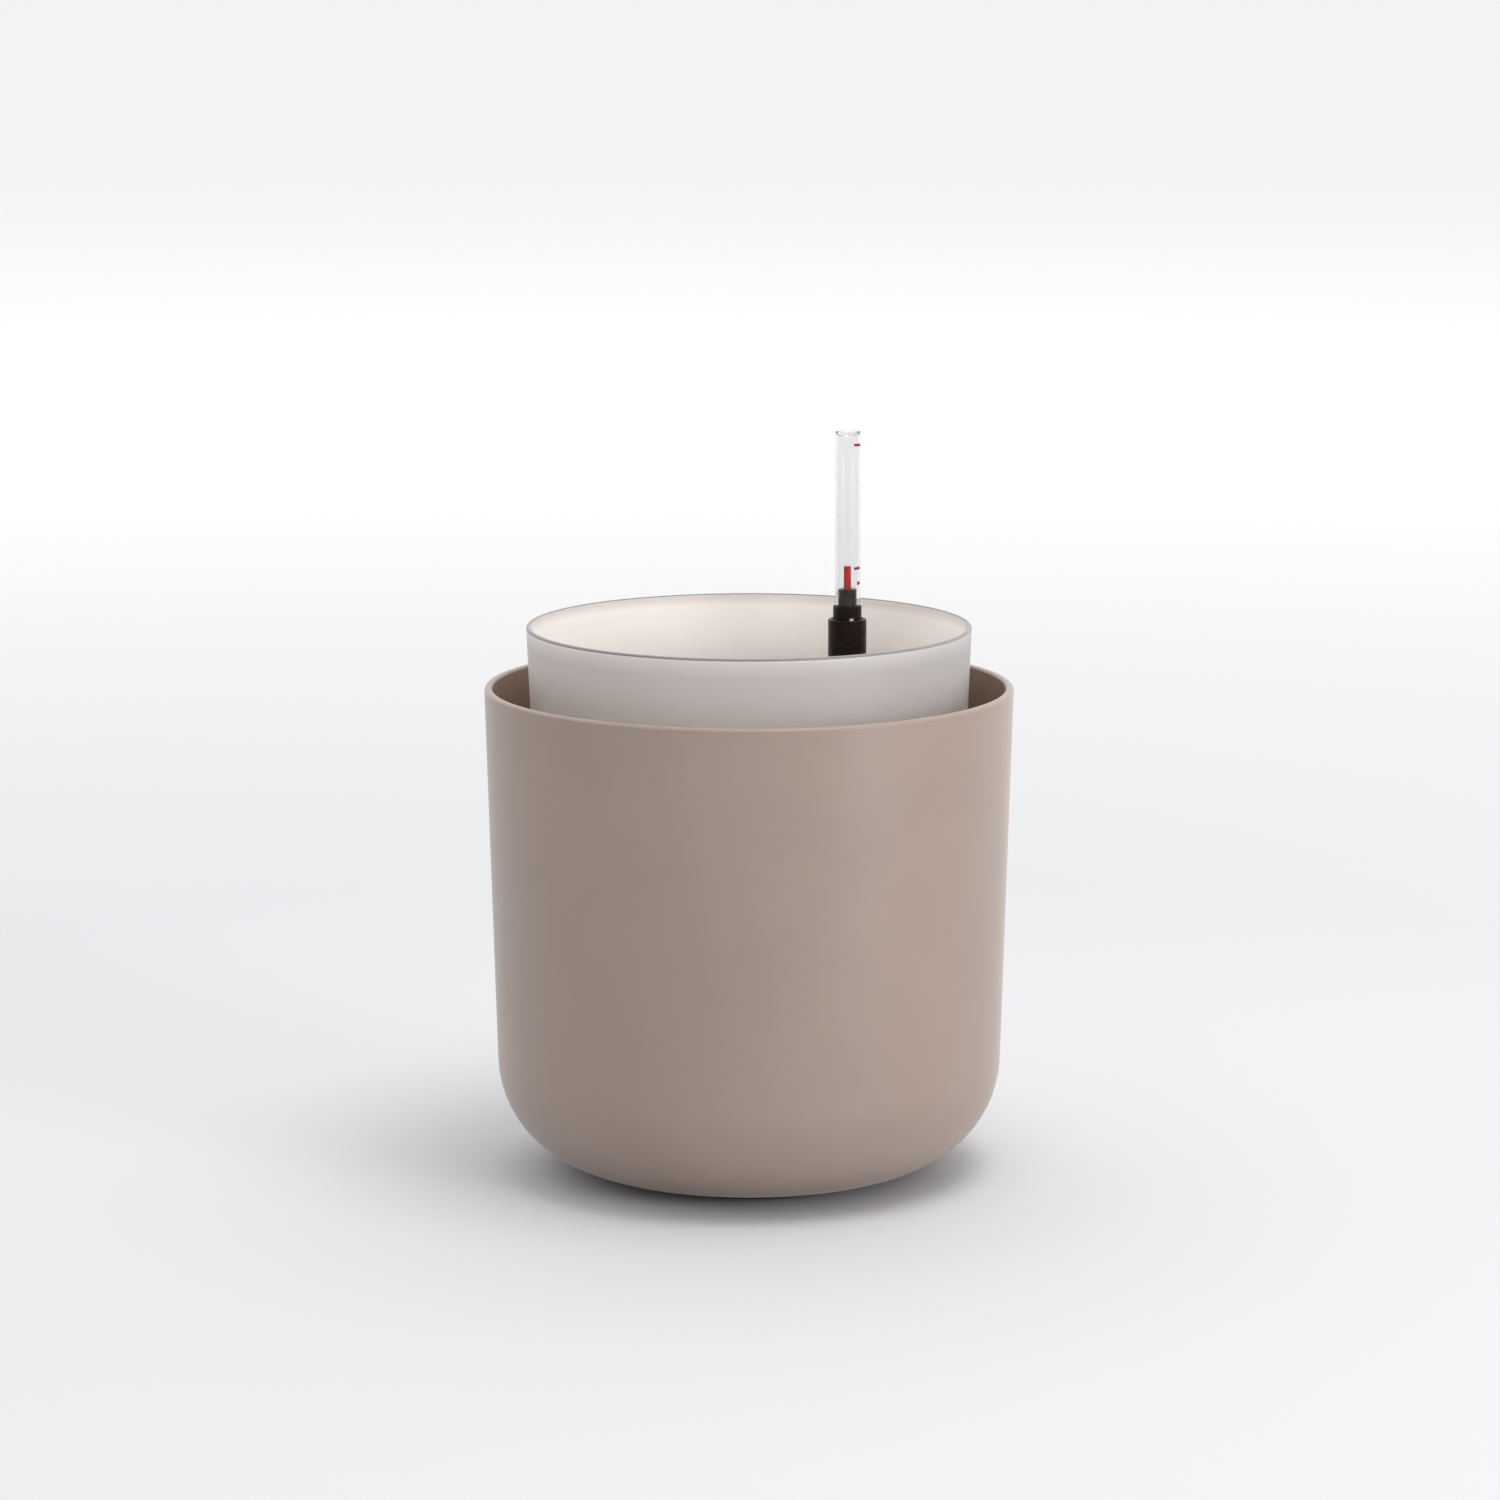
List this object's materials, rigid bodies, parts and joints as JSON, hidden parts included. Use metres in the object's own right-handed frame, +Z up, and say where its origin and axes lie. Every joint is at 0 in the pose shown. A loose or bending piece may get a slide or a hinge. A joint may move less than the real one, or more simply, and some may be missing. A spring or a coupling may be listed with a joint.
{
  "type": "self-watering planter",
  "caption": "Round self-watering planter: a taupe outer pot that holds the water, a lift-out inner pot on wick legs, and an upright float gauge showing the water level.",
  "frame": {"origin": "on the floor at the centre of the base, under the axis of the pots", "axes": "+Z up along the pots' common axis; the front is -Y, and the gauge stands back right, at +X +Y"},
  "size_m": [0.22, 0.22, 0.305],
  "materials": {
    "taupe_plastic": "fine matte, soft-touch",
    "frosted_plastic": "frosted, slightly see-through",
    "black_plastic": "satin",
    "clear_plastic": "clear, polished",
    "red_plastic": "satin",
    "float_foam": "closed-cell foam",
    "black_rubber": "matte",
    "wick_fibre": "bonded fibre",
    "white_plastic": "moulded, matte"
  },
  "bodies": {
    "planter": {"outer_pot": "taupe_plastic", "base_ring": "black_rubber", "drain_seal": "black_rubber"},
    "plug": {"drain_plug": "taupe_plastic"},
    "liner": {"inner_pot": "frosted_plastic", "wick_rod_1": "wick_fibre", "wick_rod_2": "wick_fibre", "wick_rod_3": "wick_fibre", "gauge_grommet": "black_rubber"},
    "grid": {"soil_grid": "white_plastic"},
    "gauge": {"gauge_housing": "black_plastic", "strainer_cap": "black_plastic"},
    "sight_glass": {"gauge_collar": "black_plastic", "guide_bush": "black_plastic", "sight_tube": "clear_plastic", "sight_cap": "clear_plastic"},
    "float_unit": {"float": "float_foam", "float_rod": "black_plastic", "pointer_tip": "red_plastic", "float_clip_upper": "black_plastic", "float_clip_lower": "black_plastic"}
  },
  "joints": [
    {"name": "plug_turn", "type": "hinge", "parent": "planter", "child": "plug", "pos_m": [0, 0, 0.002], "axis": [0, 0, 1], "continuous": true},
    {"name": "liner_lift", "type": "slide", "parent": "planter", "child": "liner", "axis": [0, 0, 1], "range_m": [0, 0.21]},
    {"name": "grid_lift", "type": "slide", "parent": "liner", "child": "grid", "axis": [0, 0, 1], "range_m": [0, 0.155]},
    {"name": "gauge_lift", "type": "slide", "parent": "liner", "child": "gauge", "axis": [0, 0, 1], "range_m": [0, 0.225]},
    {"name": "sight_twist", "type": "hinge", "parent": "gauge", "child": "sight_glass", "pos_m": [0.0418, 0.052, 0.22], "axis": [0, 0, 1], "range_deg": [0, 60]},
    {"name": "float_rise", "type": "slide", "parent": "gauge", "child": "float_unit", "axis": [0, 0, 1], "range_m": [0, 0.0519]}
  ]
}
